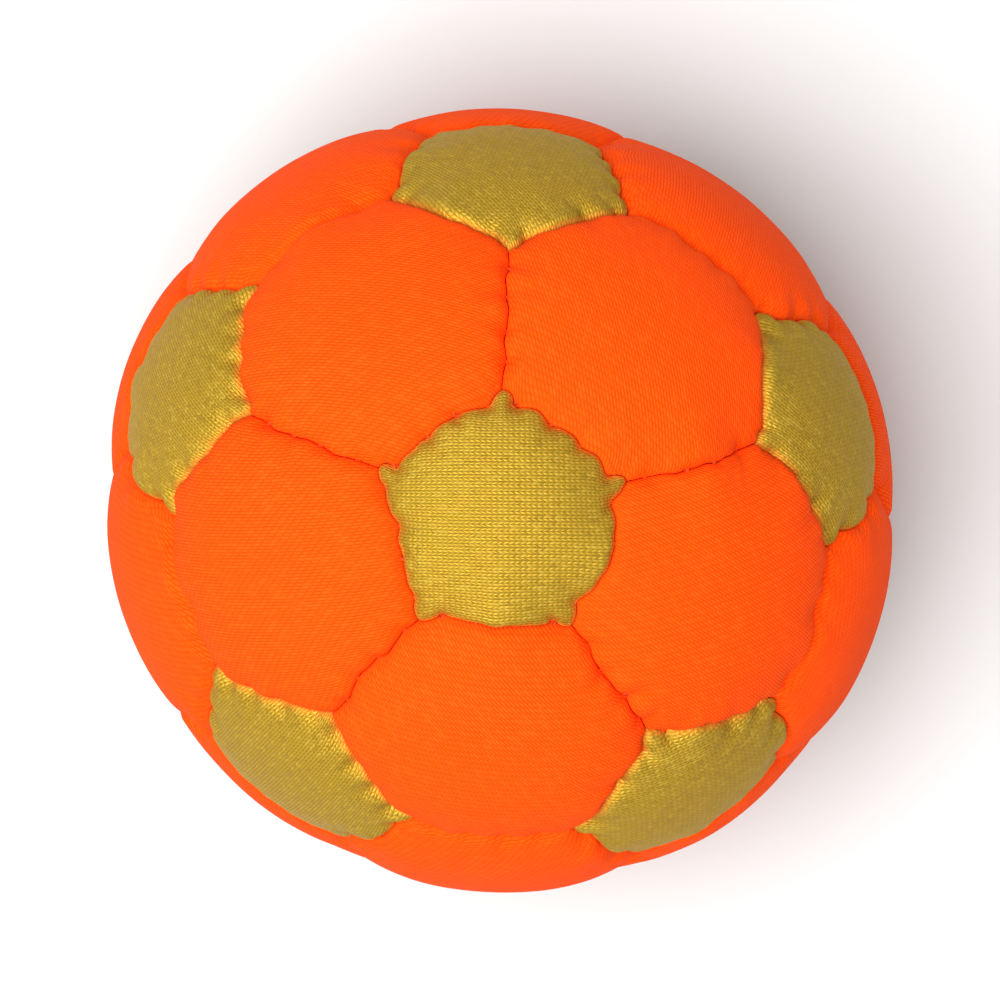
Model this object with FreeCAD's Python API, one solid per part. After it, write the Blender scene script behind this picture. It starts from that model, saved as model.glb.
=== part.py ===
"""Stitched fabric footbag: twelve five-sided and twenty six-sided panels sewn round a pellet fill.

Units are millimetres. The origin is on the floor, under the ball's centre, and +Z is up. The ball
rests on its bottom panel, which lies flat, and its top panel faces straight up with a corner at +Y.
Every panel is a shallow cushion-shaped cup: a crowned face with its seam allowance turned inward.
The allowances of two neighbours stand back to back, and sewing thread passes through both.
"""

import FreeCAD
import Part

import math
import os

Vector = FreeCAD.Vector

# Driving dimensions
BALL_RADIUS = 27.5  # from the ball's centre to the crown of a six-sided panel
PENTAGON_CROWN = 27.2  # the same for a five-sided panel
SEAM_CORNER_RADIUS = 25.9  # from the centre to a corner where three seams meet
REST_HEIGHT = 24.9  # of the centre above the floor; less than the crowns, so the base is flat
FABRIC = 0.6  # thickness of the cloth
SEAM_GAP = 0.1  # between two seam allowances that stand back to back
ALLOWANCE_END = 22.8  # from the centre to the inner edge of the seam allowances
CORNER_ROUND = 1.0  # rounding of a panel's outline at its corners
ROLL_ROUND = 0.9  # rounding where the face rolls over into the seam allowance
THREAD_RADIUS = 0.2
NEEDLE_HOLE_RADIUS = 0.22
STITCH_CORNER_RADIUS = 24.9  # from the centre to a corner of the line of stitches
STITCHES_PER_SEAM = 4  # needle holes along one seam
STITCH_PITCH = 2.5
CLEARANCE = 0.05  # between the thread and the cloth that it lies along
FILL_CLEARANCE = 0.1  # between the fill and what is round it

# Derived sizes
TOP = math.radians(90)  # azimuth of the top panel's first corner
STEP = math.radians(72)
RING_POLAR = math.atan(2)  # from the vertical to the ring of five-sided panels
SEAM_LENGTH_SHARE = 4 / math.sqrt(58 + 18 * math.sqrt(5))  # seam length over corner radius
HALF_SEAM_ANGLE = math.asin(SEAM_LENGTH_SHARE / 2)
BEND_RADIUS = CLEARANCE + THREAD_RADIUS  # of the thread's middle where it turns round the cloth
THREAD_OFFSET = SEAM_GAP / 2 + FABRIC + CLEARANCE + THREAD_RADIUS  # from the middle of the seam
KNOT_RADIUS = 2 * THREAD_RADIUS
KNOT_OFFSET = SEAM_GAP / 2 + FABRIC + CLEARANCE + KNOT_RADIUS
FILL_INSET = KNOT_OFFSET + KNOT_RADIUS + FILL_CLEARANCE
BEYOND = 35.0  # past everything, for cutting tools


class PanelShape:
    """The size of a regular panel with that many sides, seen from the ball's centre."""

    def __init__(self, sides, crown):
        self.sides = sides
        self.crown = crown
        self.corner_angle = math.asin(SEAM_LENGTH_SHARE / (2 * math.sin(math.pi / sides)))
        self.side_angle = math.acos(math.cos(self.corner_angle) / math.cos(HALF_SEAM_ANGLE))
        reach = SEAM_CORNER_RADIUS * math.sin(self.corner_angle)
        rise = crown - SEAM_CORNER_RADIUS * math.cos(self.corner_angle)
        self.face_radius = (reach**2 + rise**2) / (2 * rise)

    def corner(self, index, radius):
        """The place of a corner, that far from the ball's centre, with the panel's axis along +Z."""
        turn = 2 * math.pi * index / self.sides
        out = radius * math.sin(self.corner_angle)
        return Vector(out * math.cos(turn), out * math.sin(turn), radius * math.cos(self.corner_angle))

    def seam_frame(self, index):
        """The direction along a seam, and the one square to its plane that points into the panel."""
        start, end = self.corner(index, 1.0), self.corner(index + 1, 1.0)
        return (end - start).normalize(), start.cross(end).normalize()


PENTAGON = PanelShape(5, PENTAGON_CROWN)
HEXAGON = PanelShape(6, BALL_RADIUS)


def outline(shape, height, inset):
    """A panel's outline at that height along its axis, each side moved inward by inset."""
    tip = inset / math.sin(shape.side_angle)
    radius = (height - tip) * math.tan(shape.corner_angle)
    turns = [2 * math.pi * i / shape.sides for i in range(shape.sides + 1)]
    return Part.makePolygon([Vector(radius * math.cos(t), radius * math.sin(t), height) for t in turns])


def wedge(shape, low, inset, corner_round):
    """The space behind a panel, between its seam planes, from that height to beyond the ball."""
    ends = [outline(shape, low, inset), outline(shape, BEYOND, inset)]
    body = Part.makeLoft(ends, True, True)
    side_edges = [e for e in body.Edges if abs(e.Vertexes[0].Z - e.Vertexes[1].Z) > 1]
    return body.makeFillet(corner_round, side_edges)


def dome(shape, inward):
    """The sphere that a panel's face lies on, moved inward. Its own seam line is kept off the face."""
    centre = Vector(0, 0, shape.crown - shape.face_radius)
    ball = Part.makeSphere(shape.face_radius - inward)
    ball.rotate(Vector(0, 0, 0), Vector(0, 1, 0), 90)
    ball.translate(centre)
    return ball


def cushion(shape, low, inset, inward, corner_round, roll_round):
    """A solid cushion of a panel's outline, with a domed face and its rim rolled over."""
    body = wedge(shape, low, inset, corner_round).common(dome(shape, inward)).Solids[0]
    if not roll_round:
        return body
    face = next(f for f in body.Faces if isinstance(f.Surface, Part.Sphere))
    return body.makeFillet(roll_round, face.OuterWire.Edges)


def stitches_along(middle, along):
    """Where the needle passes through a seam, in order, given the middle of its line of stitches."""
    first = -STITCH_PITCH * (STITCHES_PER_SEAM - 1) / 2
    return [middle + along * (first + STITCH_PITCH * i) for i in range(STITCHES_PER_SEAM)]


def panel_stitches(shape, index):
    """The needle's places through one of a panel's seams."""
    ends = [shape.corner(i, STITCH_CORNER_RADIUS) for i in (index, index + 1)]
    return stitches_along((ends[0] + ends[1]) / 2, shape.seam_frame(index)[0])


def needle_holes(shape):
    """Tools for the needle holes through a panel's seam allowances."""
    holes = []
    reach = SEAM_GAP / 2 + FABRIC + CLEARANCE
    for index in range(shape.sides):
        _, inward = shape.seam_frame(index)
        for point in panel_stitches(shape, index):
            holes.append(Part.makeCylinder(NEEDLE_HOLE_RADIUS, 2 * reach, point - inward * reach, inward))
    return Part.makeCompound(holes)


def saddle_stitch(holes, inward):
    """A thread's corners along one seam: through both allowances at each hole, on alternate sides."""
    points = []
    for number, hole in enumerate(holes):
        side = inward * (THREAD_OFFSET if number % 2 == 0 else -THREAD_OFFSET)
        points += [hole + side, hole - side]
    return points


def thread_through(points):
    """A thread along straight runs between the points, bent round a small arc at each."""
    pieces = []
    start = points[0]
    for before, point, after in zip(points, points[1:], points[2:]):
        came, goes = (point - before).normalize(), (after - point).normalize()
        turn = came.getAngle(goes)
        tangent = BEND_RADIUS * math.tan(turn / 2)
        bend_start = point - came * tangent
        to_centre = (goes - came * came.dot(goes)).normalize() * BEND_RADIUS
        bend_centre = bend_start + to_centre
        pieces.append(thread_end(start, came).extrude(bend_start - start))
        bend = thread_end(bend_start, came)
        pieces.append(bend.revolve(bend_centre, came.cross(goes), math.degrees(turn)))
        start = point + goes * tangent
    pieces.append(thread_end(start, goes).extrude(points[-1] - start))
    return pieces[0].multiFuse(pieces[1:]).Solids[0]


def thread_end(centre, normal):
    return Part.Face(Part.Wire(Part.makeCircle(THREAD_RADIUS, centre, normal)))


def round_thread(shape):
    """One closed thread that sews a panel to all its neighbours, turning each corner inside the panel."""
    points = []
    for index in range(shape.sides):
        along, inward = shape.seam_frame(index)
        onward, next_inward = shape.seam_frame(index + 1)
        points += saddle_stitch(panel_stitches(shape, index), inward)
        next_start = saddle_stitch(panel_stitches(shape, index + 1), next_inward)[0]
        # the corner is where the line on along this seam meets the line back along the next one
        across = along.cross(onward)
        run = (next_start - points[-1]).cross(onward).dot(across) / across.dot(across)
        points.append(points[-1] + along * run)
    # it starts and ends halfway through its first run, so that the two ends meet there
    halfway = (points[0] + points[1]) / 2
    return thread_through([halfway] + points[1:] + [points[0], halfway])


def knotted_thread():
    """A thread that sews one seam, knotted at both ends. The seam runs along X, its middle on +Z."""
    along, across = Vector(1, 0, 0), Vector(0, 1, 0)
    middle = Vector(0, 0, STITCH_CORNER_RADIUS * math.cos(HALF_SEAM_ANGLE))
    points = saddle_stitch(stitches_along(middle, along), across)
    lift = across * (KNOT_OFFSET - THREAD_OFFSET)
    knots = [Part.makeSphere(KNOT_RADIUS, point + lift) for point in (points[0], points[-1])]
    return thread_through(points).multiFuse(knots).Solids[0]


def direction(polar, azimuth):
    """A unit vector at those angles, from the vertical and from +X."""
    flat = math.sin(polar)
    return Vector(flat * math.cos(azimuth), flat * math.sin(azimuth), math.cos(polar))


def pentagon_axes():
    """The five-sided panels' names and axes: one on top, two rings of five, one below."""
    axes = {"top": direction(0, TOP)}
    for i in range(5):
        axes[f"upper_{i + 1}"] = direction(RING_POLAR, TOP + i * STEP)
    for i in range(5):
        axes[f"lower_{i + 1}"] = direction(math.pi - RING_POLAR, TOP + (i + 0.5) * STEP)
    axes["bottom"] = direction(math.pi, TOP)
    return axes


def hexagon_neighbours():
    """The six-sided panels' names, each with the three five-sided panels round it."""
    found = {}
    for here in range(1, 6):
        after = here % 5 + 1
        found[f"top_{here}"] = ("top", f"upper_{here}", f"upper_{after}")
        found[f"upper_{here}"] = (f"upper_{here}", f"upper_{after}", f"lower_{here}")
        found[f"lower_{here}"] = (f"lower_{here}", f"lower_{after}", f"upper_{after}")
        found[f"bottom_{here}"] = ("bottom", f"lower_{here}", f"lower_{after}")
    return found


def hexagon_seams():
    """The seams between six-sided panels, in rings, by the five-sided panels at their ends."""
    rings = {"top": [], "upper": [], "middle": [], "lower": [], "bottom": []}
    for here in range(1, 6):
        after = here % 5 + 1
        rings["top"].append(("top", f"upper_{here}"))
        rings["upper"].append((f"upper_{here}", f"upper_{after}"))
        rings["middle"] += [(f"upper_{here}", f"lower_{here}"), (f"upper_{after}", f"lower_{here}")]
        rings["lower"].append((f"lower_{here}", f"lower_{after}"))
        rings["bottom"].append(("bottom", f"lower_{here}"))
    return rings


def placement(axis, towards):
    """Carries a shape to the ball: its +Z onto axis, and its +X to the side where towards points."""
    x = (towards - axis * towards.dot(axis)).normalize()
    y = axis.cross(x)
    rows = [[x[i], y[i], axis[i], REST_HEIGHT if i == 2 else 0] for i in range(3)]
    return FreeCAD.Matrix(*rows[0], *rows[1], *rows[2])


def placed(shape, matrix):
    return shape.transformed(matrix, copy=True)


def below(height):
    """Everything lower than that, for cutting the ball flat where it rests."""
    corner = Vector(-BEYOND, -BEYOND, height - BEYOND)
    return Part.makeBox(2 * BEYOND, 2 * BEYOND, BEYOND, corner)


def panel_maker(shape):
    """A function that makes a panel of that shape at a place on the ball."""
    low = ALLOWANCE_END / 2
    face = cushion(shape, low, SEAM_GAP / 2, 0, CORNER_ROUND, ROLL_ROUND)
    outside = face.cut(Part.makeSphere(ALLOWANCE_END))
    inner_sizes = (SEAM_GAP / 2 + FABRIC, FABRIC, CORNER_ROUND - FABRIC, ROLL_ROUND - FABRIC)
    inside = cushion(shape, low, *inner_sizes)
    holes = needle_holes(shape)
    panel = outside.cut(inside).cut(holes).Solids[0]

    def make(matrix):
        whole = placed(panel, matrix)
        if whole.BoundBox.ZMin >= 0:
            return whole
        flattened = placed(outside, matrix).cut(below(0))
        hollow = placed(inside, matrix).cut(below(FABRIC))
        return flattened.cut(hollow).cut(placed(holes, matrix)).Solids[0]

    return make


def pellet_fill(places):
    """The fill as one solid: a round core, and what fills the hollow behind each panel."""
    core = Part.makeSphere(ALLOWANCE_END - FILL_CLEARANCE)
    core.translate(Vector(0, 0, REST_HEIGHT))
    behind = FABRIC + FILL_CLEARANCE
    swells = []
    for shape, matrices in places:
        swell = cushion(shape, ALLOWANCE_END / 2, FILL_INSET, behind, CORNER_ROUND / 2, 0)
        swells += [placed(swell, matrix) for matrix in matrices]
    return core.multiFuse(swells).cut(below(behind)).Solids[0]


def export(name, solids):
    for solid in solids:
        if not solid.isValid() or solid.Volume <= 0:
            raise ValueError(f"{name} isn't a sound solid")
    whole = solids[0] if len(solids) == 1 else Part.makeCompound(solids)
    whole.exportStep(f"parts/{name}.step")


def main():
    os.makedirs("parts", exist_ok=True)
    pentagons = pentagon_axes()
    pentagon_places = {}
    for name, axis in pentagons.items():
        near = [other for other in pentagons.values() if 0 < axis.dot(other) < 0.9]
        pentagon_places[name] = placement(axis, near[0])
    hexagon_places = {}
    for name, around in hexagon_neighbours().items():
        a, b, c = (pentagons[n] for n in around)
        # a corner is a third of the way from one five-sided panel's axis to the next
        hexagon_places[name] = placement((a + b + c).normalize(), a * 2 + b)

    make_pentagon, make_hexagon = panel_maker(PENTAGON), panel_maker(HEXAGON)
    ring_thread = round_thread(PENTAGON)
    for name, matrix in pentagon_places.items():
        export(f"pentagon_panel_{name}", [make_pentagon(matrix)])
        export(f"pentagon_thread_{name}", [placed(ring_thread, matrix)])
    for name, matrix in hexagon_places.items():
        export(f"hexagon_panel_{name}", [make_hexagon(matrix)])

    short_thread = knotted_thread()
    for ring, seams in hexagon_seams().items():
        ends = [(pentagons[a], pentagons[b]) for a, b in seams]
        threads = [placed(short_thread, placement((a + b).normalize(), b)) for a, b in ends]
        export(f"hexagon_thread_{ring}", threads)

    places = [(PENTAGON, pentagon_places.values()), (HEXAGON, hexagon_places.values())]
    export("pellet_fill", [pellet_fill(places)])


if __name__ == "__main__":
    main()
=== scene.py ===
"""Looks of a stitched footbag: thirty-two sewn cloth panels that swell over a pellet fill."""

import math

import bmesh
import bpy
import numpy as np
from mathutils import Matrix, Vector


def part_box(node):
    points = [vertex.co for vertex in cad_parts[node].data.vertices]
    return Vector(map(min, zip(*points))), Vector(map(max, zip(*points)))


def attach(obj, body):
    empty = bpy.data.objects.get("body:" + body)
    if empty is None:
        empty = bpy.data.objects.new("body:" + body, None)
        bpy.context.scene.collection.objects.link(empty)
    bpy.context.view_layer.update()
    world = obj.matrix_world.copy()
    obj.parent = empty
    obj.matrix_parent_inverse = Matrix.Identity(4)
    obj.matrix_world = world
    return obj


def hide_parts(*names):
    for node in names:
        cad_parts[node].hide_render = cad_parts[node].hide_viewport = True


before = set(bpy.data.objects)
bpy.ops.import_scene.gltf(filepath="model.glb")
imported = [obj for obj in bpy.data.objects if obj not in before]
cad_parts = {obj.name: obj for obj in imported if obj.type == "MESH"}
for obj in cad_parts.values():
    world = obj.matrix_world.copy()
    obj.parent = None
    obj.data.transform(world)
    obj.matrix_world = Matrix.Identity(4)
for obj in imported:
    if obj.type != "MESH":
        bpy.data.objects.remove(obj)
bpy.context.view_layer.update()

MM = 0.001  # metres


def cad_points(node):
    return np.array([v.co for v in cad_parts[node].data.vertices])


def ball_centre():
    """Halfway between the outer edges of two opposite panels, over the middle of the flat base."""
    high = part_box("pentagon_panel_upper_1")[1].z
    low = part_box("pentagon_panel_lower_3")[0].z
    return np.array([0, 0, (high + low) / 2])


def crown(node):
    """How far the middle of a CAD panel's face stands from the ball's centre."""
    return np.linalg.norm(cad_points(node) - CENTRE, axis=1).max()


# The ball, from the CAD model. Places count from its centre, until new_piece adds CENTRE to them.
CENTRE = ball_centre()
CROWNS = {5: crown("pentagon_panel_top"), 6: crown("hexagon_panel_top_1")}
BALL_RADIUS = CROWNS[6]
ALLOWANCE_END = np.linalg.norm(cad_points("pentagon_panel_top") - CENTRE, axis=1).min()

# Seams
CORNER_RADIUS = 0.962 * BALL_RADIUS  # from the centre to where three seams meet
MIDDLE_RADIUS = 0.976 * BALL_RADIUS  # and to the middle of a seam
STITCHES = 4  # along one seam
STITCH_PITCH = 2.5 * MM
STITCH_STRAY = 0.025  # how far a stitch may be from its even place, as a share of the seam
SEAM_SHARE = 4 / math.sqrt(58 + 18 * math.sqrt(5))  # seam length over corner radius
LOBE_SHARPNESS = 0.95  # of the dips at the stitches, under 1 for sharp ones
WAVES = np.array([5, 8, 13])  # small unevennesses, as half waves along a seam
WAVE_HEIGHT = 0.04 * MM
LIFT = 0.2 * MM  # of the seam between two stitches
TIGHT = 0.6  # share of the stitches inside a seam that draw the cloth in
LOOSE_PULL = 0.4  # how far the others draw it in, over a tight one
PLEATED = 0.3  # share of the stitches that a pleat starts from
PLEAT_SLANT = 0.5  # spread of a pleat's direction, along the seam over across it
SEED = 32

# What chance decides, in mm: the least and the most, or the spread about nothing
CORNER_OUT = (-0.5, 0.3)  # a gold panel's corner, away from the panel's middle
CORNER_ASIDE = 0.2  # and round the panel
CORNER_SUNK = (0, 0.25)  # and towards the ball's centre
GOLD_OUT_AT_ENDS = (-0.85, -0.15)  # a gold panel's outline at a seam's first and last stitch
GOLD_OUT = (-0.75, -0.1)  # and at the tight ones between
GOLD_LOBE = (0.0, 0.4)  # its bulge from one of them to the next, for each stitch pitch
GOLD_LOBE_AT_ENDS = (0.0, 0.5)  # and next to a corner
ORANGE_BOW = 0.3  # of a seam between two orange panels
ORANGE_STRAY = 0.1  # of its tight stitches
ORANGE_LOBE = (0.02, 0.2)  # its bulge from one of them to the next, for each stitch pitch
ORANGE_LOBE_AT_ENDS = 0.5  # a bulge next to a corner over the others
PULL = (0.05, 0.3)  # depth of the dip at a stitch
PLEAT_DEPTH = (0.1, 0.4)

# Cloth
CLOTH = 0.6 * MM  # thickness
ROLL_WIDTH = 1.15 * MM  # where a panel's face rolls over into its seam allowance
ROLL_DEPTH = 0.65 * MM
DIMPLE_WIDTH = 0.75 * MM  # of the dip that a stitch pulls in the cloth
PLEAT_WIDTH = 0.28 * MM
PLEAT_LENGTH = 2.6 * MM
HALF_GAP = 0.02 * MM  # between a seam allowance and the middle of its seam
CLOSE_FROM = 0.8  # share of the way from a panel's middle to its seam where close rows start
CLOSE_ROWS = (0.835, 0.868, 0.898, 0.924, 0.947, 0.967, 0.983, 0.993, 1.0)
ROW_STEP = 0.05  # from one row to the next before them
SHARES = np.concatenate([np.arange(0, CLOSE_FROM + ROW_STEP / 2, ROW_STEP), CLOSE_ROWS])
LINING_SHARES = np.array([0.0, 0.2, 0.4, 0.6, 0.8, 0.9, 1.0])  # the inner side is plainer
ALLOWANCE_ROWS = (0.4 * MM, 1.1 * MM)  # rows of the seam allowance, below the roll
PRESS_ROUND = 0.3 * MM  # how softly the ball's underside turns flat
OUT_OF_ROUND = 0.012  # how much longer the soft ball is one way, and shorter across it
LONG_WAY = math.radians(150)  # that way's azimuth

# Simulation, at a size that suits Blender's cloth
SIM_SCALE = 40.0
SIM_FRAMES = 7
SIM_QUALITY = 5  # steps in a frame
GRID = 16  # cloth squares from the middle of a seam to its end
START_CROWN = 0.985  # the cloth starts this share of the way out, and swells to its crown
EASE = 0.025  # how much longer the cloth is than its first shape
PRESSURE = 60.0
STIFFNESS = 20.0
BENDING = 0.02
POINT_MASS = 0.002
AIR_DAMPING = 1.0

TINY = 1e-6  # more than any rounding error

rng = np.random.default_rng(SEED)


def unit(v):
    return v / np.linalg.norm(v, axis=-1, keepdims=True)


# ---------------------------------------------------------------- where the panels and seams are

TOP = math.radians(90)  # azimuth of the top panel's first corner
STEP = math.radians(72)  # from one panel of a ring to the next
RING_POLAR = math.atan(2)  # from the vertical to the ring of five-sided panels


def direction(polar, azimuth):
    flat = math.sin(polar)
    return np.array([flat * math.cos(azimuth), flat * math.sin(azimuth), math.cos(polar)])


def pentagon_axes():
    """The gold five-sided panels' names and axes: one on top, two rings of five, one below."""
    axes = {"top": direction(0, TOP)}
    for i in range(5):
        axes[f"upper_{i + 1}"] = direction(RING_POLAR, TOP + i * STEP)
    for i in range(5):
        axes[f"lower_{i + 1}"] = direction(math.pi - RING_POLAR, TOP + (i + 0.5) * STEP)
    axes["bottom"] = direction(math.pi, TOP)
    return axes


def hexagon_neighbours():
    """The orange six-sided panels' names, each with the three five-sided panels round it."""
    found = {}
    for here in range(1, 6):
        after = here % 5 + 1
        found[f"top_{here}"] = ("top", f"upper_{here}", f"upper_{after}")
        found[f"upper_{here}"] = (f"upper_{here}", f"upper_{after}", f"lower_{here}")
        found[f"lower_{here}"] = (f"lower_{here}", f"lower_{after}", f"upper_{after}")
        found[f"bottom_{here}"] = ("bottom", f"lower_{here}", f"lower_{after}")
    return found


PENTAGONS = pentagon_axes()


def corner_direction(corner):
    """A corner is a third of the way from one five-sided panel's axis to the next."""
    here, there = corner
    return unit(2 * PENTAGONS[here] + PENTAGONS[there])


class Panel:
    """A panel's name, axis, corners in order and size."""

    def __init__(self, name, axis, corners):
        self.name = name
        self.axis = axis
        self.sides = len(corners)
        towards = corner_direction(corners[0])
        self.x = unit(towards - axis * (towards @ axis))
        self.y = np.cross(axis, self.x)
        self.corners = sorted(corners, key=self.turn)
        self.flat_radius = CORNER_RADIUS * SEAM_SHARE / (2 * math.sin(math.pi / self.sides))

    def turn(self, corner):
        """A corner's angle from the first one, which stays first."""
        out = corner_direction(corner)
        return (math.atan2(out @ self.y, out @ self.x) + TINY) % (2 * math.pi)

    def seam_ends(self, index):
        return self.corners[index % self.sides], self.corners[(index + 1) % self.sides]


def all_panels():
    panels = []
    for name, axis in PENTAGONS.items():
        near = [n for n in PENTAGONS if n != name and PENTAGONS[n] @ axis > 0]
        panels.append(Panel(f"pentagon_panel_{name}", axis, [(name, n) for n in near]))
    for name, around in hexagon_neighbours().items():
        axis = unit(sum(PENTAGONS[n] for n in around))
        corners = [(a, b) for a in around for b in around if a != b]
        panels.append(Panel(f"hexagon_panel_{name}", axis, corners))
    return panels


# ---------------------------------------------------------------- the wavy lines of the seams


def corner_shifts(panels):
    """How far the thread draws each corner of a gold panel from its even place."""
    shifts = {}
    for corner in [c for p in panels if p.sides == 5 for c in p.corners]:
        here, there = (PENTAGONS[n] for n in corner)
        along, across = unit(there - here), unit(np.cross(here, there))
        inward = -corner_direction(corner)
        out, aside = rng.uniform(*CORNER_OUT), rng.normal(0, CORNER_ASIDE)
        sunk = rng.uniform(*CORNER_SUNK)
        shifts[corner] = (along * out + across * aside + inward * sunk) * MM
    return shifts


class Seam:
    """The wavy line where two panels meet. It bulges sideways between its stitches."""

    def __init__(self, ends, shifts, gold):
        self.first = ends[0]
        self.start, self.end = (corner_direction(corner) * CORNER_RADIUS for corner in ends)
        self.start_shift, self.end_shift = (shifts[corner] for corner in ends)
        self.outward = unit(np.cross(unit(self.end - self.start), unit(self.start + self.end)))
        pitch = STITCH_PITCH / np.linalg.norm(self.end - self.start)
        even = 0.5 + pitch * (np.arange(STITCHES) - (STITCHES - 1) / 2)
        self.stitch_shares = even + rng.uniform(-STITCH_STRAY, STITCH_STRAY, STITCHES)
        # a stitch inside the seam that isn't tight leaves one wide bulge in the place of two
        tight = np.ones(STITCHES, bool)
        tight[1:-1] = rng.random(STITCHES - 2) < TIGHT
        self.knots = np.concatenate([[0], self.stitch_shares[tight], [1]])
        widths = np.diff(self.knots) / pitch
        self.lifts = LIFT * widths
        if gold:
            self.shape_round_gold(widths)
        else:
            self.shape_between_orange(widths)
        self.wave_starts = rng.uniform(0, 2 * math.pi, len(WAVES))
        self.stitches = self.at(self.stitch_shares)
        self.pulls = rng.uniform(*PULL, STITCHES) * np.where(tight, 1, LOOSE_PULL) * MM
        self.pleats = [self.pleat(place) for place in self.stitches if rng.random() < PLEATED]

    def shape_round_gold(self, widths):
        """Beside a gold panel the cloth bulges outward, and draws in before the corners."""
        first, last = rng.uniform(*GOLD_OUT_AT_ENDS, 2)
        between = rng.uniform(*GOLD_OUT, len(widths) - 3)
        self.offsets = np.array([0, first, *between, last, 0]) * MM
        self.lobes = rng.uniform(*GOLD_LOBE, len(widths)) * widths * MM
        self.lobes[[0, -1]] = rng.uniform(*GOLD_LOBE_AT_ENDS, 2) * MM

    def shape_between_orange(self, widths):
        """Between two orange panels the cloth bulges either way."""
        bow = 4 * self.knots * (1 - self.knots) * rng.normal(0, ORANGE_BOW)
        stray = rng.normal(0, ORANGE_STRAY, len(self.knots))
        stray[[0, -1]] = 0
        self.offsets = (bow + stray) * MM
        sizes = rng.uniform(*ORANGE_LOBE, len(widths))
        self.lobes = sizes * rng.choice([-1, 1], len(widths)) * widths * MM
        self.lobes[[0, -1]] *= ORANGE_LOBE_AT_ENDS

    def pleat(self, place):
        """A short groove in the cloth from a stitch: its start, direction and depth."""
        along = unit(self.end - self.start)
        heading = unit(self.outward * rng.choice([-1, 1]) + along * rng.normal(0, PLEAT_SLANT))
        return place, heading, rng.uniform(*PLEAT_DEPTH) * MM

    def at(self, shares):
        """The seam's points at those shares of its length."""
        radius = CORNER_RADIUS + (MIDDLE_RADIUS - CORNER_RADIUS) * 4 * shares * (1 - shares)
        sideways = np.interp(shares, self.knots, self.offsets)
        for low, high, lobe, lift in zip(self.knots, self.knots[1:], self.lobes, self.lifts):
            between = ((shares - low) / (high - low)).clip(0, 1)
            bulge = np.sin(math.pi * between).clip(0) ** LOBE_SHARPNESS
            sideways = sideways + lobe * bulge
            radius = radius + lift * bulge
        waves = np.sin(math.pi * WAVES * shares[:, None] + self.wave_starts).sum(axis=1)
        sideways = sideways + WAVE_HEIGHT * waves * np.sin(math.pi * shares.clip(0, 1))
        to_start = np.interp(shares, [0, self.knots[1]], [1, 0])
        to_end = np.interp(shares, [self.knots[-2], 1], [0, 1])
        line = unit(self.start + (self.end - self.start) * shares[:, None]) * radius[:, None]
        line += np.outer(to_start, self.start_shift) + np.outer(to_end, self.end_shift)
        return line + self.outward * sideways[:, None]

    def towards(self, corner, shares):
        """The half of the seam from its middle to one of its corners."""
        return self.at(0.5 - shares / 2 if corner == self.first else 0.5 + shares / 2)


def all_seams(panels):
    """Each seam once, by its two corners. Gold panels come first, so a seam bulges out of them."""
    shifts = corner_shifts(panels)
    seams = {}
    for panel in panels:
        for index in range(panel.sides):
            ends = panel.seam_ends(index)
            if frozenset(ends) not in seams:
                seams[frozenset(ends)] = Seam(ends, shifts, panel.sides == 5)
    return seams


# ---------------------------------------------------------------- cloth grids
# A panel is as many kites as it has corners. Kite i's own corners are the panel's corner i, its
# middle and the middles of the two seams beside corner i. The kite's grid is indexed [u, v]: u = 1
# on the seam before corner i, v = 1 on the seam after it.


def kite_flat(panel, index, shares):
    """The kite's grid on the flat cut cloth, where shares are the grid's places from 0 to 1."""
    turn = 2 * math.pi * index / panel.sides
    half = math.pi / panel.sides
    far = panel.flat_radius * np.array([math.cos(turn), math.sin(turn)])
    near = panel.flat_radius * math.cos(half)
    before = near * np.array([math.cos(turn - half), math.sin(turn - half)])
    after = near * np.array([math.cos(turn + half), math.sin(turn + half)])
    u, v = (w[..., None] for w in np.meshgrid(shares, shares, indexing="ij"))
    return u * (1 - v) * before + u * v * far + (1 - u) * v * after


def kite_ids(sides, steps):
    """The kites' grids as numbers of shared points, [kite, u, v], and the count of points."""
    ids = np.zeros((sides, steps + 1, steps + 1), int)
    count = 1
    for kite in range(sides):
        ids[kite, 0, 1:] = np.arange(count, count + steps)  # from the middle to the seam after
        count += steps
    for kite in range(sides):
        ids[kite, 1:, 0] = ids[kite - 1, 0, 1:]
        ids[kite, 1:, 1:] = np.arange(count, count + steps**2).reshape(steps, steps)
        count += steps**2
    return ids, count


def grid_faces(ids):
    quads = [ids[:, :-1, :-1], ids[:, 1:, :-1], ids[:, 1:, 1:], ids[:, :-1, 1:]]
    return np.stack(quads, axis=-1).reshape(-1, 4)


def edge_ids(ids):
    """The numbers of the points round the edge, in order from the middle of the last seam."""
    ring = []
    for kite in ids:
        ring += list(kite[-1, :-1]) + list(kite[:0:-1, -1])
    return np.array(ring)


def kite_seams(panel, seams, kite, shares):
    """The halves of the seams beside a corner, each from its middle to the corner."""
    corner = panel.corners[kite]
    before, after = (seams[frozenset(panel.seam_ends(i))] for i in (kite - 1, kite))
    return before.towards(corner, shares), after.towards(corner, shares)


def meet_seams(grid, before, after, follow):
    """Moves a kite's points so that its two edges lie on its seams, less and less further in."""
    to_before, to_after = before - grid[-1], after - grid[:, -1]
    u, v = (w[..., None] for w in np.meshgrid(follow, follow, indexing="ij"))
    return grid + u * to_before[None] + v * to_after[:, None] - u * v * to_before[-1]


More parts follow.
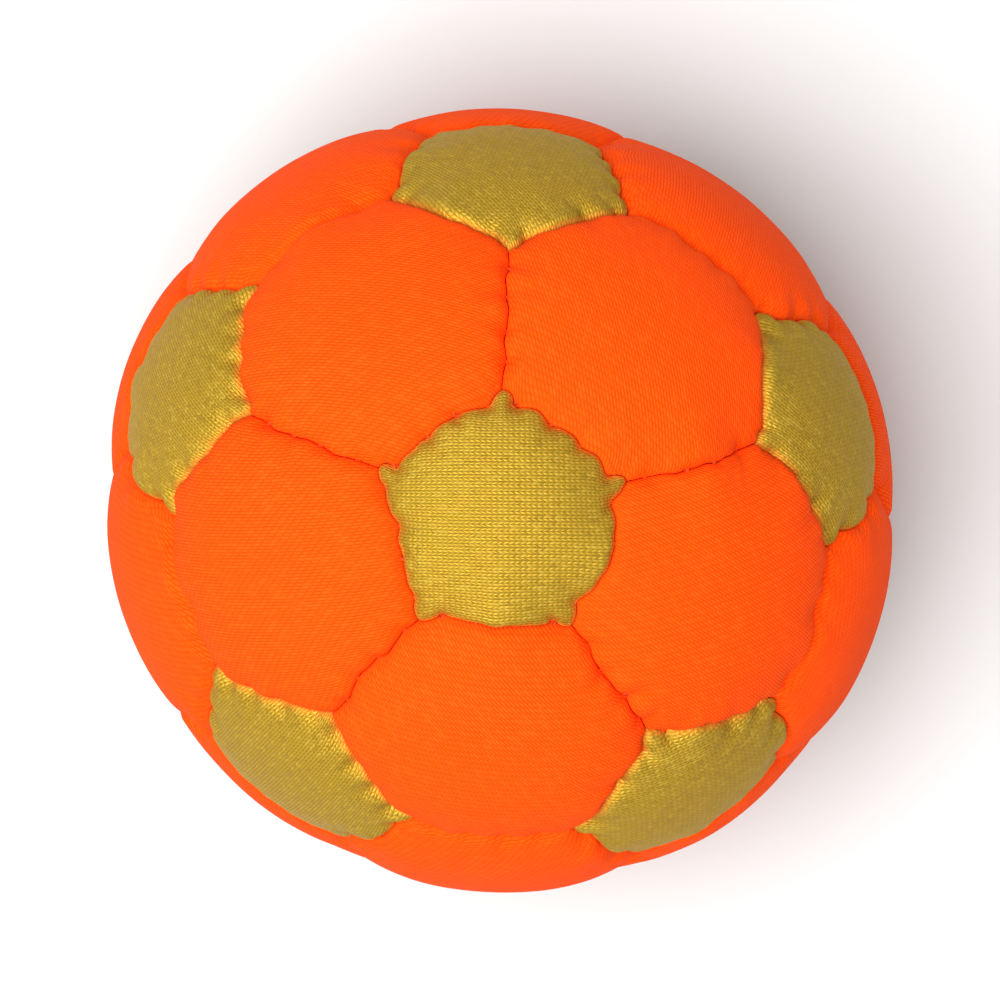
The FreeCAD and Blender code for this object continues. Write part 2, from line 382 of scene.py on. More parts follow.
class Dome:
    """A round dome over a panel's corners."""

    def __init__(self, panel):
        self.panel = panel
        corner_angle = math.asin(SEAM_SHARE / (2 * math.sin(math.pi / panel.sides)))
        reach = CORNER_RADIUS * math.sin(corner_angle)
        self.top = CROWNS[panel.sides] * START_CROWN
        rise = self.top - CORNER_RADIUS * math.cos(corner_angle)
        self.radius = (reach**2 + rise**2) / (2 * rise)
        self.angle = math.asin(reach / self.radius)

    def at(self, flat, outward=0):
        """The places over places on the flat cloth, and that far outward from the dome."""
        out = np.linalg.norm(flat, axis=-1, keepdims=True)
        turn = flat / np.maximum(out, MM * TINY)
        angle = out / self.panel.flat_radius * self.angle
        across = (self.panel.x * turn[..., :1] + self.panel.y * turn[..., 1:]) * np.sin(angle)
        up = self.panel.axis * np.cos(angle)
        middle = self.panel.axis * (self.top - self.radius)
        return middle + (across + up) * (self.radius + outward)


def first_shape(panel, seams):
    """The kites' grids on a dome over the panel's seams, [kite, u, v, xyz]."""
    shares = np.linspace(0, 1, GRID + 1)
    dome = Dome(panel)
    kites = []
    for kite in range(panel.sides):
        grid = dome.at(kite_flat(panel, kite, shares))
        kites.append(meet_seams(grid, *kite_seams(panel, seams, kite, shares), shares**4))
    return np.array(kites)


def swell(panels, seams):
    """Lets all the panels' cloth swell between their seams, and returns each panel's points."""
    points, faces, pinned, sizes = [], [], [], []
    for panel in panels:
        ids, count = kite_ids(panel.sides, GRID)
        cloth = np.zeros((count, 3))
        cloth[ids] = first_shape(panel, seams)
        start = sum(sizes)
        points.append(cloth)
        faces.append(grid_faces(ids) + start)
        pinned.append(edge_ids(ids) + start)
        sizes.append(count)
    swollen = np.concatenate(points)
    swollen = simulate(swollen, np.concatenate(faces), np.concatenate(pinned))
    return np.split(swollen, np.cumsum(sizes)[:-1])


def simulate(points, faces, pinned):
    """The points' places after Blender's cloth, with pressure from the fill and the seams held."""
    mesh = bpy.data.meshes.new("cloth")
    mesh.from_pydata((points * SIM_SCALE).tolist(), [], faces.tolist())
    cloth = bpy.data.objects.new("cloth", mesh)
    scene = bpy.context.scene
    scene.collection.objects.link(cloth)
    held = cloth.vertex_groups.new(name="held")
    held.add(pinned.tolist(), 1.0, "REPLACE")
    modifier = cloth.modifiers.new("Cloth", "CLOTH")
    settings = modifier.settings
    settings.quality = SIM_QUALITY
    settings.mass = POINT_MASS
    settings.air_damping = AIR_DAMPING
    settings.tension_stiffness = STIFFNESS
    settings.compression_stiffness = STIFFNESS
    settings.shear_stiffness = STIFFNESS
    settings.bending_stiffness = BENDING
    settings.vertex_group_mass = "held"
    settings.shrink_min = -EASE
    settings.use_pressure = True
    settings.uniform_pressure_force = PRESSURE
    settings.effector_weights.gravity = 0
    modifier.collision_settings.use_collision = False
    modifier.point_cache.frame_start = 1
    modifier.point_cache.frame_end = SIM_FRAMES
    for number in range(1, SIM_FRAMES + 1):
        scene.frame_set(number)
    shape = cloth.evaluated_get(bpy.context.evaluated_depsgraph_get()).data
    moved = np.empty(len(points) * 3, np.float32)
    shape.vertices.foreach_get("co", moved)
    bpy.data.objects.remove(cloth)
    bpy.data.meshes.remove(mesh)
    scene.frame_set(1)
    return moved.reshape(-1, 3).astype(float) / SIM_SCALE


# ---------------------------------------------------------------- finished panels


def spline_parts(t):
    """The weights of four points in a row in a spline's place, t past the second of them."""
    inner = 2 - 5 * t**2 + 3 * t**3, t + 4 * t**2 - 3 * t**3
    return np.array([-t + 2 * t**2 - t**3, *inner, t**3 - t**2]) / 2


def spline_weights(steps, shares):
    """A matrix that takes a row of steps + 1 even points to a spline's places at those shares."""
    weights = np.zeros((len(shares), steps + 3))
    for row, share in enumerate(shares):
        here = min(int(share * steps + TINY), steps - 1)
        weights[row, here:here + 4] = spline_parts(share * steps - here)
    # the points past both ends continue the first and the last step
    inside = weights[:, 1:-1]
    inside[:, 0] += 2 * weights[:, 0]
    inside[:, 1] -= weights[:, 0]
    inside[:, -1] += 2 * weights[:, -1]
    inside[:, -2] -= weights[:, -1]
    return inside


def surface(panel, seams, cloth, shares):
    """The simulated cloth on a grid with those rows, its edge on the seams, and the flat places."""
    coarse, _ = kite_ids(panel.sides, GRID)
    ids, count = kite_ids(panel.sides, len(shares) - 1)
    weights = spline_weights(GRID, shares)
    follow = ((shares - CLOSE_FROM) / (1 - CLOSE_FROM)).clip(0, 1) ** 2
    points, flat = np.zeros((count, 3)), np.zeros((count, 2))
    for kite in range(panel.sides):
        grid = np.einsum("au,bv,uvc->abc", weights, weights, cloth[coarse[kite]])
        points[ids[kite]] = meet_seams(grid, *kite_seams(panel, seams, kite, shares), follow)
        flat[ids[kite]] = kite_flat(panel, kite, shares)
    return ids, points, flat


def from_loop(points, loop):
    """Each point's distance to a closed line."""
    along = np.roll(loop, -1, axis=0) - loop
    out = points[:, None] - loop[None]
    share = (out * along).sum(-1) / (along**2).sum(-1)
    nearest = out - share.clip(0, 1)[..., None] * along
    return np.sqrt((nearest**2).sum(-1).min(1))


def pleat_profile(out, heading):
    """A pleat's depth at places counted from its start, as a share of its deepest."""
    along = out @ heading
    beside = np.linalg.norm(out - np.outer(along, heading), axis=1)
    ahead = (1 - along / PLEAT_LENGTH).clip(0, 1)
    behind = np.exp(-(along / PLEAT_WIDTH) ** 2)
    return np.where(along > 0, ahead, behind) * np.exp(-(beside / PLEAT_WIDTH) ** 2)


def sewn(points, distance, panel, seams):
    """Sinks the cloth beside its seams as a quarter round, with a dip at each stitch."""
    near = (1 - distance / ROLL_WIDTH).clip(0, 1)
    depth = ROLL_DEPTH * (1 - np.sqrt(1 - near**2))
    for index in range(panel.sides):
        seam = seams[frozenset(panel.seam_ends(index))]
        for place, pull in zip(seam.stitches, seam.pulls):
            depth += pull * np.exp(-((points - place) ** 2).sum(1) / DIMPLE_WIDTH**2)
        for place, heading, deepest in seam.pleats:
            depth += deepest * pleat_profile(points - place, heading)
    return points - unit(points) * depth[:, None]


def inward_of(ring):
    """At each point of a closed ring, the direction into the panel, square to the ring."""
    along = np.roll(ring, -1, axis=0) - np.roll(ring, 1, axis=0)
    return unit(np.cross(unit(ring), along))


def pressed(points, gap):
    """Flattens what would be less than that gap over the floor."""
    height = points[:, 2] + CENTRE[2] - gap
    above = (height + np.sqrt(height**2 + PRESS_ROUND**2)) / 2
    return points + np.outer(above - height, [0, 0, 1])


def out_of_round(points):
    """Stretches the ball along its long way and squeezes it across."""
    long_way = np.array([math.cos(LONG_WAY), math.sin(LONG_WAY), 0])
    across = np.array([-math.sin(LONG_WAY), math.cos(LONG_WAY), 0])
    stretch = np.outer(points @ long_way, long_way)
    squeeze = np.outer(points @ across, across)
    return points + OUT_OF_ROUND * (stretch - squeeze)


class Builder:
    """Gathers a mesh: points, their flat places and distances from a seam, and faces."""

    def __init__(self):
        self.points, self.flat, self.distance, self.faces = [], [], [], []

    def add(self, points, flat, distance):
        first = len(self.points)
        self.points += points.tolist()
        self.flat += flat.tolist()
        self.distance += distance.tolist()
        return first

    def add_grid(self, points, flat, distance, faces):
        first = self.add(points, flat, distance)
        self.faces += (faces + first).tolist()
        return first

    def add_ring(self, points, flat, joined, turned=False):
        """A ring of points, joined by faces to another ring with as many."""
        first = self.add(points, flat, np.zeros(len(points)))
        ring = np.arange(first, first + len(points))
        quads = np.stack([joined, ring, np.roll(ring, -1), np.roll(joined, -1)], axis=1)
        self.faces += (quads[:, ::-1] if turned else quads).tolist()
        return ring

    def bridge(self, ring, coarse):
        """Triangles from a ring to one with fewer points, round the same edge."""
        a = b = 0
        while a < len(ring) or b < len(coarse):
            here, there = int(ring[a % len(ring)]), int(coarse[b % len(coarse)])
            ring_is_behind = (a + 0.5) / len(ring) < (b + 0.5) / len(coarse)
            if b == len(coarse) or a < len(ring) and ring_is_behind:
                a += 1
                self.faces.append([here, there, int(ring[a % len(ring)])])
            else:
                b += 1
                self.faces.append([here, there, int(coarse[b % len(coarse)])])


def panel_mesh(panel, seams, cloth):
    """A panel's face, its seam allowance and its plainer inner side, round one layer of cloth."""
    ids, face, flat = surface(panel, seams, cloth, SHARES)
    edge = edge_ids(ids)
    distance = from_loop(face, face[edge])
    face = sewn(face, distance, panel, seams)
    face[edge] += inward_of(face[edge]) * HALF_GAP
    mesh = Builder()
    mesh.add_grid(pressed(face, 0), flat, distance, grid_faces(ids))
    ring = edge
    end = ALLOWANCE_END / np.linalg.norm(face[edge], axis=1, keepdims=True)
    for share in [1 - row / BALL_RADIUS for row in ALLOWANCE_ROWS] + [end]:
        ring = mesh.add_ring(pressed(face[edge] * share, 0), flat[edge], ring)

    ids, lining, flat = surface(panel, seams, cloth, LINING_SHARES)
    edge = edge_ids(ids)
    inward = inward_of(lining[edge])
    lining -= unit(lining) * CLOTH
    lining[edge] += inward * CLOTH - unit(lining[edge]) * ROLL_DEPTH
    faces = grid_faces(ids)[:, ::-1]
    first = mesh.add_grid(pressed(lining, CLOTH), flat, np.zeros(len(lining)), faces)
    end = ALLOWANCE_END / np.linalg.norm(lining[edge], axis=1, keepdims=True)
    inner_ring = mesh.add_ring(pressed(lining[edge] * end, CLOTH), flat[edge], edge + first, True)
    mesh.bridge(ring, inner_ring)
    return mesh


def new_piece(name, points, faces):
    """A smooth-shaded mesh piece that rides on the ball, from points counted from its centre."""
    mesh = bpy.data.meshes.new(name)
    mesh.from_pydata((out_of_round(np.array(points)) + CENTRE).tolist(), [], faces)
    mesh.polygons.foreach_set("use_smooth", np.ones(len(faces), bool))
    piece = bpy.data.objects.new(name, mesh)
    bpy.context.scene.collection.objects.link(piece)
    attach(piece, "root")
    return piece


def lay_grain(piece, flat):
    """Gives a piece the places on its flat cloth or along its yarn, in mm, for its material."""
    layer = piece.data.uv_layers.new(name="grain")
    corners = np.empty(len(piece.data.loops), int)
    piece.data.loops.foreach_get("vertex_index", corners)
    layer.data.foreach_set("uv", (flat[corners] / MM).ravel())


def make_panel(panel, seams, cloth):
    built = panel_mesh(panel, seams, cloth)
    piece = new_piece(panel.name + "_cloth", built.points, built.faces)
    turn = rng.uniform(0, 2 * math.pi)
    turned = np.array([[math.cos(turn), -math.sin(turn)], [math.sin(turn), math.cos(turn)]])
    lay_grain(piece, np.array(built.flat) @ turned)
    seam_distance = piece.data.attributes.new("seam_distance", "FLOAT", "POINT")
    seam_distance.data.foreach_set("value", np.array(built.distance) / MM)
    return piece


# ---------------------------------------------------------------- sewing thread

THREAD_RADIUS = 0.2 * MM
THREAD_SIDES = 6
SPLINE_STEPS = 4  # of a thread's line from one point to the next
THREAD_ROOM = 1.3 * THREAD_RADIUS  # from the cloth to the middle of a run of thread beside it
BESIDE = CLOTH + HALF_GAP + THREAD_ROOM  # from the middle of a seam to a run of thread
CROSSING_DEPTH = 0.6 * MM  # of the thread where it crosses a crease, below the seam's line
RUN_DEPTH = 1.3 * MM  # and where it runs along the cloth, inside
KNOT = np.array([0.3, 1.1, 1.35, 1.15, 1.0])  # a knot's thickness over the thread's, from its end
KNOT_SHARES = np.array([0.045, 0.955])  # the knots' places along the seam
KNOT_DEPTH = (0.45, 0.75)  # how far they are below its line, in mm: the least and the most


def hexagon_seams():
    """The seams between orange panels, in rings, by the gold panels at their ends."""
    rings = {"top": [], "upper": [], "middle": [], "lower": [], "bottom": []}
    for here in range(1, 6):
        after = here % 5 + 1
        rings["top"].append(("top", f"upper_{here}"))
        rings["upper"].append((f"upper_{here}", f"upper_{after}"))
        rings["middle"].append((f"upper_{here}", f"lower_{here}"))
        rings["middle"].append((f"upper_{after}", f"lower_{here}"))
        rings["lower"].append((f"lower_{here}", f"lower_{after}"))
        rings["bottom"].append(("bottom", f"lower_{here}"))
    return rings


def saddle_stitch(seam):
    """A thread's points along a seam: across its crease at each stitch, and inside between."""
    points = []
    beside = seam.outward * BESIDE
    for number, (place, pull) in enumerate(zip(seam.stitches, seam.pulls)):
        deep = place - unit(place) * (CROSSING_DEPTH + pull)
        to = beside if number % 2 == 0 else -beside
        points += [deep - to, deep, deep + to]
        if number < STITCHES - 1:
            halfway = (place + seam.stitches[number + 1]) / 2
            points.append(halfway - unit(halfway) * RUN_DEPTH + to)
    return points


def smooth_line(points, closed):
    """A smooth line through the points."""
    points = np.array(points)
    if closed:
        around = np.concatenate([points[-1:], points, points[:2]])
    else:
        before, after = 2 * points[:1] - points[1:2], 2 * points[-1:] - points[-2:-1]
        around = np.concatenate([before, points, after])
    parts = np.array([spline_parts(t) for t in np.arange(SPLINE_STEPS) / SPLINE_STEPS])
    fours = np.stack([around[i:len(around) - 3 + i] for i in range(4)], axis=1)
    line = np.einsum("tk,nkc->ntc", parts, fours).reshape(-1, 3)
    return line if closed else np.concatenate([line, points[-1:]])


def tube(line, radii, closed):
    """The points of a round tube along a line, their places along and round it, and its faces."""
    if closed:
        along = np.roll(line, -1, axis=0) - np.roll(line, 1, axis=0)
    else:
        along = np.gradient(line, axis=0)
    side = unit(np.cross(along, line))
    up = unit(np.cross(side, along))
    turns = 2 * math.pi * np.arange(THREAD_SIDES) / THREAD_SIDES
    spokes = side[:, None] * np.cos(turns)[:, None] + up[:, None] * np.sin(turns)[:, None]
    points = line[:, None] + spokes * radii[:, None, None]
    lengths = np.concatenate([[0], np.cumsum(np.linalg.norm(np.diff(line, axis=0), axis=1))])
    round_it, along_it = np.meshgrid(turns * THREAD_RADIUS, lengths)
    ids = np.arange(len(line) * THREAD_SIDES).reshape(len(line), THREAD_SIDES)
    onward = np.roll(ids, -1, axis=0) if closed else ids[1:]
    rings = ids if closed else ids[:-1]
    quads = [rings, onward, np.roll(onward, -1, axis=1), np.roll(rings, -1, axis=1)]
    faces = np.stack(quads, axis=-1).reshape(-1, 4).tolist()
    if not closed:
        faces += [ids[0].tolist(), ids[-1, ::-1].tolist()]
    return points.reshape(-1, 3), np.stack([round_it, along_it], axis=-1).reshape(-1, 2), faces


def round_thread(panel, seams):
    """One closed thread round a gold panel, which turns each corner inside the panel."""
    points = []
    for index in range(panel.sides):
        seam = seams[frozenset(panel.seam_ends(index))]
        points += saddle_stitch(seam)
        corner = seam.end - unit(seam.end) * RUN_DEPTH
        points.append(corner + unit(panel.axis - unit(corner)) * 2 * BESIDE)
    line = smooth_line(points, True)
    return tube(line, np.full(len(line), THREAD_RADIUS), True)


def knotted_thread(seam):
    """A thread along the seam between two orange panels, with a knot near each end of the seam."""
    knots = [p - unit(p) * rng.uniform(*KNOT_DEPTH) * MM for p in seam.at(KNOT_SHARES)]
    line = smooth_line([knots[0], *saddle_stitch(seam), knots[1]], False)
    radii = np.full(len(line), 1.0)
    radii[:len(KNOT)] = KNOT
    radii[-len(KNOT):] = KNOT[::-1]
    return tube(line, radii * THREAD_RADIUS, False)


def make_thread(node, tubes):
    """A group of threads as one piece, in the place of a CAD node."""
    points, flat, faces = [], [], []
    for tube_points, tube_flat, tube_faces in tubes:
        faces += [[i + len(points) for i in face] for face in tube_faces]
        points += tube_points.tolist()
        flat += tube_flat.tolist()
    piece = new_piece(node + "_yarn", pressed(np.array(points), CLOTH), faces)
    lay_grain(piece, np.array(flat))
    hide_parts(node)
    return piece


def make_threads(panels, seams):
    for panel in panels:
        if panel.sides == 5:
            yield make_thread(panel.name.replace("panel", "thread"), [round_thread(panel, seams)])
    for ring, ends in hexagon_seams().items():
        rows = [knotted_thread(seams[frozenset([(a, b), (b, a)])]) for a, b in ends]
        yield make_thread(f"hexagon_thread_{ring}", rows)


# ---------------------------------------------------------------- pellets

PELLET_RADIUS = 1.25 * MM
PELLET_PITCH = 2.7 * MM  # between the middles of two pellets
PELLET_FLATNESS = 0.8  # a pellet's least thickness over its width
PELLET_SIZES = (0.92, 1.0)  # the least and the most, over the radius
CLOTH_GAP = 0.4 * MM  # between the cloth and the pellets behind it
BEHIND = CLOTH + CLOTH_GAP + PELLET_RADIUS  # from a panel's face to the middle of a pellet
FROM_SEAM = 2.4 * MM  # from a seam's middle to the middle of a pellet beside it
CORE_GAP = 0.2 * MM  # between the ends of the seam allowances and the core's pellets
CORE_CROWDING = 1.05  # the core's pellets over one for each square of the pitch


def pellets_behind(panel):
    """Pellet places behind a panel, in a honeycomb that keeps off the seams."""
    reach = panel.flat_radius * math.cos(math.pi / panel.sides) - FROM_SEAM
    turns = [math.pi * (2 * i + 1) / panel.sides for i in range(panel.sides)]
    to_seams = [(math.cos(turn), math.sin(turn)) for turn in turns]
    count = int(panel.flat_radius / PELLET_PITCH) + 1
    dome = Dome(panel)
    places = []
    for row in range(-count, count + 1):
        for column in range(-count, count + 1):
            flat = PELLET_PITCH * np.array([column + row % 2 / 2, row * math.sqrt(3) / 2])
            if all(flat @ to_seam < reach for to_seam in to_seams):
                places.append(dome.at(flat, -BEHIND))
    return places


def pellets_round_core():
    """Pellet places on a sphere inside the seam allowances, on an even spiral."""
    radius = ALLOWANCE_END - PELLET_RADIUS - CORE_GAP
    count = int(4 * math.pi * radius**2 / PELLET_PITCH**2 * CORE_CROWDING)
    heights = 1 - 2 * (np.arange(count) + 0.5) / count
    turns = np.arange(count) * math.pi * (3 - math.sqrt(5))  # the golden angle apart
    flat = np.sqrt(1 - heights**2)
    return list(radius * np.stack([flat * np.cos(turns), flat * np.sin(turns), heights], axis=1))


def make_pellets(panels):
    """The outer layers of the fill, as small flattened beads that lie every way."""
    bead = bmesh.new()
    bmesh.ops.create_icosphere(bead, subdivisions=2, radius=PELLET_RADIUS)
    shape = np.array([v.co for v in bead.verts])
    shape_faces = np.array([[v.index for v in f.verts] for f in bead.faces])
    bead.free()
    behind = [place for panel in panels for place in pellets_behind(panel)]
    places = np.array(behind + pellets_round_core())
    points, faces = [], []
    for number, place in enumerate(places):
        short = unit(rng.normal(size=3))
        flattened = shape - np.outer(shape @ short, short) * (1 - PELLET_FLATNESS)
        points.append(flattened * rng.uniform(*PELLET_SIZES) + place)
        faces.append(shape_faces + number * len(shape))
    points = pressed(np.concatenate(points), 2 * CLOTH)
    piece = new_piece("pellets", points, np.concatenate(faces).tolist())
    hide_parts("pellet_fill")
    return piece


# ---------------------------------------------------------------- materials
# Lengths on the flat cloth and along the thread are in mm here. Three numbers are a colour.


class Value:
    """A number that varies over a surface, for use in formulas: the output of a shader node."""

    def __init__(self, shader, socket):
        self.shader, self.socket = shader, socket

    def math(self, operation, *others):
        return self.shader.value("ShaderNodeMath", (self, *others), operation=operation)

    def __add__(self, other):
        return self.math("ADD", other)

    def __sub__(self, other):
        return self.math("SUBTRACT", other)

    def __mul__(self, other):
        return self.math("MULTIPLY", other)

    def __truediv__(self, other):
        return self.math("DIVIDE", other)

    def __pow__(self, other):
        return self.math("POWER", other)

    def __abs__(self):
        return self.math("ABSOLUTE")

    def floor(self):
        return self.math("FLOOR")

    def fraction(self):
        return self.math("FRACT")

    def over(self, limit):
        return self.math("GREATER_THAN", limit)

    def under(self, limit):
        return self.math("LESS_THAN", limit)

    def rest(self):
        """What this leaves of 1."""
        return self * -1 + 1

    def raised(self, lowest):
        """From that lowest number to 1, as this goes from 0 to 1."""
        return self * (1 - lowest) + lowest

    def half_wave(self):
        """From 0 up to 1 and back to 0, as this goes from 0 to 1."""
        return (self * math.pi).math("SINE")

    def step(self, low, high):
        """A soft step from 0 to 1, as this goes from low to high."""
        node = self.shader.node("ShaderNodeMapRange", interpolation_type="SMOOTHSTEP")
        self.shader.feed(node, (self, low, high))
        return Value(self.shader, node.outputs["Result"])


class Shader:
    """A material, with short ways to make its nodes. Constants go on the surface's sockets."""

    def __init__(self, name, **constants):
        self.material = bpy.data.materials.new(name)
        self.material.use_nodes = True
        self.tree = self.material.node_tree
        self.surface = self.tree.nodes["Principled BSDF"]
        for name, value in constants.items():
            socket = name.replace("_", " ").title().replace("Ior", "IOR")
            self.surface.inputs[socket].default_value = value

    def node(self, kind, **settings):
        node = self.tree.nodes.new(kind)
        for name, value in settings.items():
            setattr(node, name, value)
        return node

    def feed(self, node, values):
        for socket, value in zip(node.inputs, values):
            self.join(value, socket)

    def join(self, value, socket):
        if isinstance(value, Value):
            self.tree.links.new(value.socket, socket)
        else:
            socket.default_value = value

    def value(self, kind, inputs, **settings):
        node = self.node(kind, **settings)
        self.feed(node, inputs)
        return Value(self, node.outputs[0])

    def grain(self):
        """The place on the flat cloth, across and along, in mm."""
        place = self.node("ShaderNodeUVMap", uv_map="grain")
        parts = self.node("ShaderNodeSeparateXYZ")
        self.tree.links.new(place.outputs["UV"], parts.inputs["Vector"])
        return Value(self, parts.outputs["X"]), Value(self, parts.outputs["Y"])

    def random(self, x, y):
        """A random number from 0 to 1 for each pair of whole numbers."""
        place = self.value("ShaderNodeCombineXYZ", (x, y))
        return self.value("ShaderNodeTexWhiteNoise", (place,), noise_dimensions="2D")

    def clouds(self, size):
        """Soft noise about 0.5, with patches of that size in metres."""
        place = self.node("ShaderNodeTexCoord")
        noise = self.node("ShaderNodeTexNoise")
        self.tree.links.new(place.outputs["Object"], noise.inputs["Vector"])
        noise.inputs["Scale"].default_value = 1 / size
        return Value(self, noise.outputs["Fac"])

    def seam_distance(self):
        node = self.node("ShaderNodeAttribute", attribute_name="seam_distance")
        return Value(self, node.outputs["Fac"])

    def mix(self, share, first, second):
        """A colour between two others."""
        node = self.node("ShaderNodeMix", data_type="RGBA")
        for name, value in (("Factor_Float", share), ("A_Color", first), ("B_Color", second)):
            socket = next(i for i in node.inputs if i.identifier == name)
            self.join((*value, 1) if isinstance(value, tuple) else value, socket)
        return Value(self, next(o for o in node.outputs if o.identifier == "Result_Color"))

    def tint(self, colour, other, where, strength):
        """That much of another colour where a number is 1, and less as it goes to 0."""
        return self.mix(where * strength, colour, other)

    def finish(self, colour, roughness, height, depth):
        """Sets the colour, roughness and relief, which is that deep where height is 1."""
        self.join(colour, self.surface.inputs["Base Color"])
        self.join(roughness, self.surface.inputs["Roughness"])
        bump = self.node("ShaderNodeBump")
        bump.inputs["Distance"].default_value = depth
        self.join(height, bump.inputs["Height"])
        self.tree.links.new(bump.outputs["Normal"], self.surface.inputs["Normal"])
        return self.material


def knit(shader, wale, course, lean=0.55):
    """Knitted loops, as columns of leaning legs: the yarn's height, and each leg's own number."""
    across, along = shader.grain()
    column = across / wale
    from_middle = abs(column.fraction() - 0.5) * 2
    leaning = along / course + from_middle * lean
    rounded = from_middle.half_wave() ** 0.5
    height = rounded * leaning.fraction().half_wave().raised(0.35)
    return height, shader.random((column * 2).floor(), leaning.floor())


def twill(shader, pitch):
    """A two-over-one twill: the yarn's height, and each float's own number."""
    across, along = shader.grain()
    yarn = across / pitch
    run = (along / pitch + yarn.floor()) / 3
    height = yarn.fraction().half_wave() * run.fraction().half_wave().raised(0.3)
    return height, shader.random(yarn.floor(), run.floor())


def gold_fabric():
    """Olive-gold lurex knit: shiny yarn with brighter and duller loops, and painted orange bounce
    light in the creases.
    """
    shader = Shader("gold_knit", metallic=0.4, specular_ior_level=0.2,
                    specular_tint=(0.75, 0.5, 0.12, 1))
    height, number = knit(shader, wale=0.42, course=0.36)
    patches = shader.clouds(7 * MM).step(0.35, 0.7)
    crease = shader.seam_distance().step(0.05, 0.45).rest()
    # painted shade: the hollows between the knit's loops are darker than the tops of the yarn
    colour = shader.mix(height.step(0.1, 0.7), (0.25, 0.148, 0.012), (0.415, 0.255, 0.024))
    colour = shader.tint(colour, (0.65, 0.47, 0.07), where=number.over(0.88), strength=0.22)
    colour = shader.tint(colour, (0.15, 0.09, 0.008), where=number.under(0.1), strength=0.25)
    colour = shader.tint(colour, (0.34, 0.23, 0.02), where=patches, strength=0.25)
    # painted light: near the seams the gold is tinted a lighter orange, standing in for light
    # bounced off the orange panels
    colour = shader.tint(colour, (0.9, 0.3, 0.035), where=crease, strength=0.5)
    return shader.finish(colour, roughness=number * 0.25 + 0.38, height=height + number * 0.25,
                         depth=0.05 * MM)


def orange_fabric():
    """Fluorescent orange twill, matt and a little fuzzy, with painted light that brightens its
    creases.
    """
    shader = Shader("orange_twill", specular_ior_level=0.08, specular_tint=(1, 0.3, 0.1, 1),
                    sheen_weight=0.02, sheen_roughness=0.5, sheen_tint=(1, 0.35, 0.1, 1))
    height, number = twill(shader, pitch=0.2)
    patches = shader.clouds(9 * MM).step(0.4, 0.75)
    crease = shader.seam_distance().step(0.0, 0.4).rest()
    fuzz = shader.clouds(0.12 * MM)
    lit = height.step(0.0, 0.8).raised(0.25)
    colour = shader.mix(lit, (0.8, 0.035, 0.001), (1.0, 0.083, 0.004))
    colour = shader.tint(colour, (1.0, 0.115, 0.008), where=number.over(0.8), strength=0.2)
    colour = shader.tint(colour, (0.92, 0.06, 0.003), where=patches, strength=0.2)
    # painted light: near the seams the colour is lifted to a lighter orange, offsetting the shade
    # deep in the creases
    colour = shader.tint(colour, (1.0, 0.09, 0.005), where=crease, strength=0.5)
    return shader.finish(colour, roughness=number * 0.1 + 0.8, height=height + fuzz * 0.6,
                         depth=0.04 * MM)


def thread_fibre(plies=2, ply_length=0.8):
    """Two-ply orange thread: the plies wind round each other."""
    shader = Shader("twisted_thread", specular_ior_level=0.1)
    around, along = shader.grain()
    girth = 2 * math.pi * THREAD_RADIUS / MM
    ply = (along / ply_length + around / girth * plies).fraction().half_wave()
    # painted shade: darker in the grooves between the plies, lighter on their crowns
    colour = shader.mix(ply.step(0.0, 0.7), (0.3, 0.015, 0.002), (0.65, 0.05, 0.004))
    return shader.finish(colour, roughness=0.6, height=ply, depth=0.05 * MM)


def pellet_plastic():
    """Milky polypropylene, not quite even from one pellet to the next."""
    shader = Shader("milky_plastic", specular_ior_level=0.5)
    patches, tooth = shader.clouds(3 * MM), shader.clouds(0.5 * MM)
    colour = shader.mix(patches.step(0.3, 0.7), (0.62, 0.6, 0.53), (0.8, 0.79, 0.74))
    return shader.finish(colour, roughness=patches * 0.2 + 0.25, height=tooth, depth=0.02 * MM)


def floor_surface():
    """Pale matt card with a faint tooth."""
    shader = Shader("floor_card", specular_ior_level=0.2)
    colour = shader.mix(shader.clouds(60 * MM), (0.6, 0.6, 0.6), (0.63, 0.63, 0.625))
    return shader.finish(colour, roughness=0.85, height=shader.clouds(0.8 * MM), depth=0.02 * MM)


# ---------------------------------------------------------------- camera, light and floor

CAMERA_DISTANCE = 20 * BALL_RADIUS
CAMERA_TILT = math.radians(2.5)  # from straight down: the top panel is a little below the middle
CAMERA_TURN = math.radians(2.5)  # of the view about the vertical
BALL_IN_VIEW = 0.78  # the ball's width over the view's
KEY_PLACE = (-0.22, -0.1, 0.85)  # the one lamp's
KEY_WIDTH = 0.7
KEY_POWER = 13.9  # watts
SKY_STRENGTH = 0.5
FLOOR_HALF = 1.5  # half the floor's width


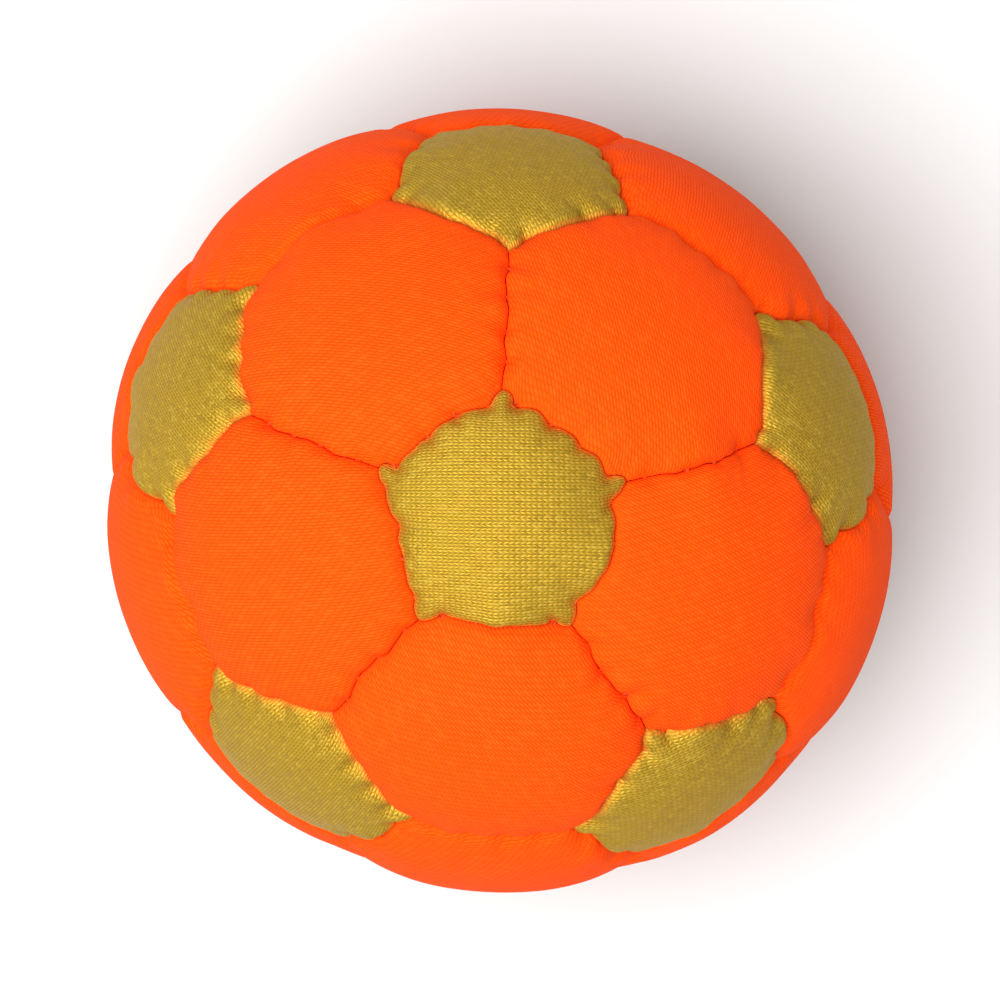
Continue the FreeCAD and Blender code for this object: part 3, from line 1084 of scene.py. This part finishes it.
def set_camera():
    """Nearly straight over the ball. The top panel's first corner is near the top of the view."""
    camera = bpy.data.cameras.new("camera")
    half_view = math.tan(math.asin(BALL_RADIUS / CAMERA_DISTANCE)) / BALL_IN_VIEW
    camera.lens = camera.sensor_width / 2 / half_view
    camera.clip_start = BALL_RADIUS
    holder = bpy.data.objects.new("camera", camera)
    holder.location = CENTRE + CAMERA_DISTANCE * direction(CAMERA_TILT, TOP + CAMERA_TURN)
    holder.rotation_euler = (-CAMERA_TILT, 0, CAMERA_TURN)
    bpy.context.scene.collection.objects.link(holder)
    bpy.context.scene.camera = holder


def area_light(name, place, width, power):
    light = bpy.data.lights.new(name, "AREA")
    light.size = width
    light.energy = power
    holder = bpy.data.objects.new(name, light)
    holder.location = place
    holder.rotation_euler = (Vector(CENTRE) - Vector(place)).to_track_quat("-Z", "Y").to_euler()
    bpy.context.scene.collection.objects.link(holder)


def set_stage():
    """A pale floor, one wide soft light and an even white sky."""
    floor_mesh = bpy.data.meshes.new("floor")
    half = FLOOR_HALF
    corners = [(-half, -half, 0), (half, -half, 0), (half, half, 0), (-half, half, 0)]
    floor_mesh.from_pydata(corners, [], [(0, 1, 2, 3)])
    floor = bpy.data.objects.new("floor", floor_mesh)
    floor_mesh.materials.append(floor_surface())
    bpy.context.scene.collection.objects.link(floor)
    area_light("key", KEY_PLACE, KEY_WIDTH, KEY_POWER)
    world = bpy.data.worlds.new("studio")
    world.use_nodes = True
    sky = world.node_tree.nodes["Background"]
    sky.inputs["Color"].default_value = (1, 1, 1, 1)
    sky.inputs["Strength"].default_value = SKY_STRENGTH
    bpy.context.scene.world = world
    bpy.context.scene.view_settings.view_transform = "Standard"


def main():
    set_camera()
    set_stage()
    gold, orange = gold_fabric(), orange_fabric()
    panels = all_panels()
    seams = all_seams(panels)
    for panel, cloth in zip(panels, swell(panels, seams)):
        piece = make_panel(panel, seams, cloth)
        piece.data.materials.append(gold if panel.sides == 5 else orange)
        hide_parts(panel.name)
    thread = thread_fibre()
    for piece in make_threads(panels, seams):
        piece.data.materials.append(thread)
    make_pellets(panels).data.materials.append(pellet_plastic())


main()
